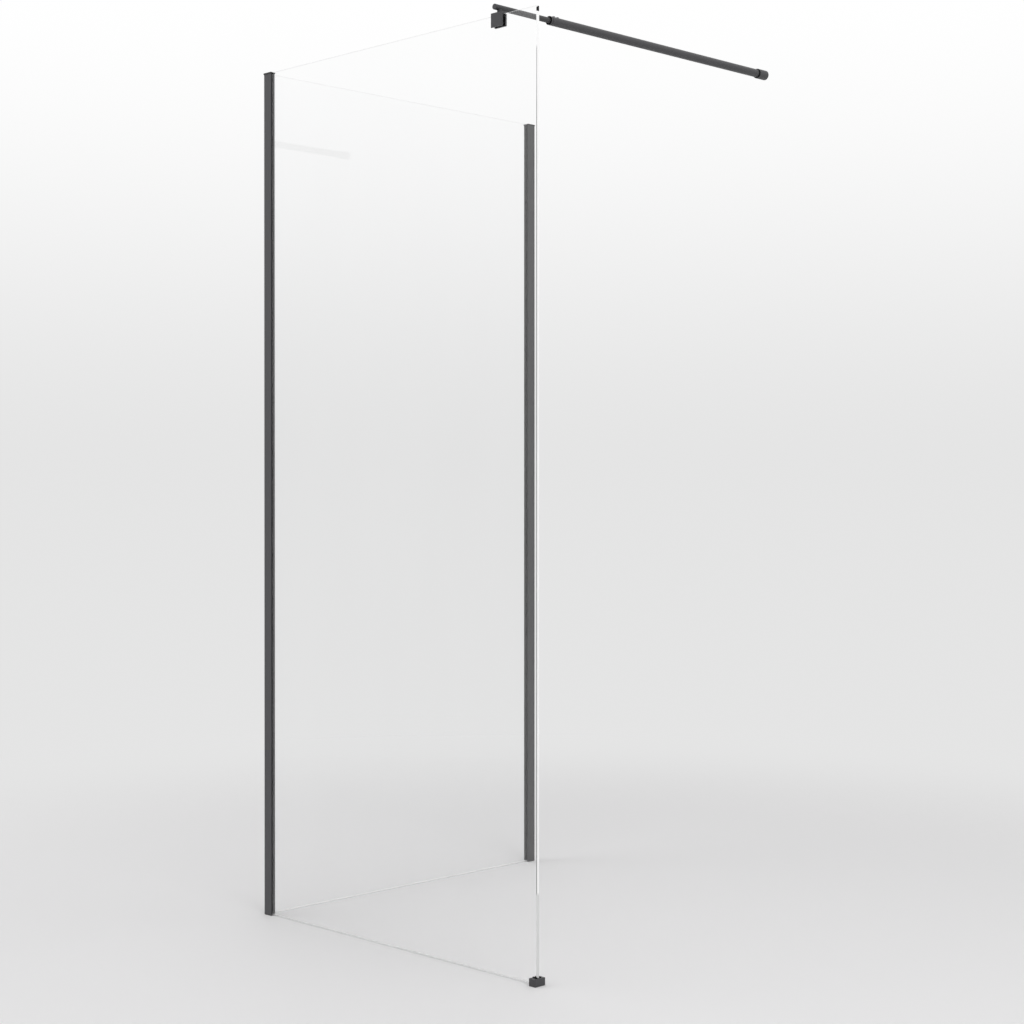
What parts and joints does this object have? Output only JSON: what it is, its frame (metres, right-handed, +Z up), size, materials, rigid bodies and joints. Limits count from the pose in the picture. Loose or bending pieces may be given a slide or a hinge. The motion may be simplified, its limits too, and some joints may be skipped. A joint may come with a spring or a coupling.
{
  "type": "walk-in shower screen",
  "caption": "Corner walk-in shower screen: clear glass panels in slim black profiles, with a floor foot and a telescopic wall bar clamped to the free panel.",
  "frame": {"origin": "On the wall, at floor level, on the mid-plane of the side panel: the foot of the wall profile's back face.", "axes": "+Z up, +Y into the wall, +X along the wall from the side panel towards the open end of the screen."},
  "size_m": [0.9148, 0.9185, 2.0255],
  "materials": {
    "clear_glass": "clear tempered float glass, polished arris",
    "profile_coat": "matte black powder coat on an aluminium extrusion",
    "cap_plastic": "moulded black, fine texture",
    "black_seal": "soft black",
    "block_plastic": "plain black",
    "clear_seal": "clear soft strip",
    "fitting_coat": "matte black powder coat",
    "bar_coat": "matte black powder coat",
    "black_nylon": "moulded black nylon",
    "dark_steel": "blackened steel",
    "base_metal": "turned steel"
  },
  "bodies": {
    "screen": {"front_glass": "clear_glass", "side_glass": "clear_glass", "corner_profile": "profile_coat", "corner_profile_cap": "cap_plastic", "corner_seal_front": "black_seal", "corner_seal_back": "black_seal", "corner_seal_outer": "black_seal", "corner_seal_inner": "black_seal", "foot_liner": "black_seal", "clamp_pads": "black_seal", "corner_front_block": "block_plastic", "corner_side_block": "block_plastic", "front_bottom_seal": "clear_seal", "side_bottom_seal": "clear_seal", "floor_foot": "fitting_coat", "clamp_body": "fitting_coat", "rod_saddle": "fitting_coat", "rod_end_plug": "fitting_coat", "inner_rod": "bar_coat", "rod_glide": "black_nylon", "clamp_grub_screws": "dark_steel", "saddle_screw": "dark_steel"},
    "wall_fixing": {"wall_profile": "profile_coat", "wall_profile_cap": "cap_plastic", "wall_seal_outer": "black_seal", "wall_seal_inner": "black_seal", "wall_setting_block": "block_plastic"},
    "bar_tube": {"outer_tube": "bar_coat", "guide_bush": "black_nylon", "tube_lock_screws": "dark_steel", "socket_base": "base_metal", "wall_socket": "fitting_coat", "socket_ring": "black_seal", "socket_grub_screw": "dark_steel"}
  },
  "joints": [
    {"name": "bar_telescope", "type": "slide", "parent": "screen", "child": "bar_tube", "axis": [0, 1, 0], "range_m": [-0.13, 0.24]},
    {"name": "profile_adjust", "type": "slide", "parent": "screen", "child": "wall_fixing", "axis": [0, 1, 0], "range_m": [0, 0.01]}
  ]
}
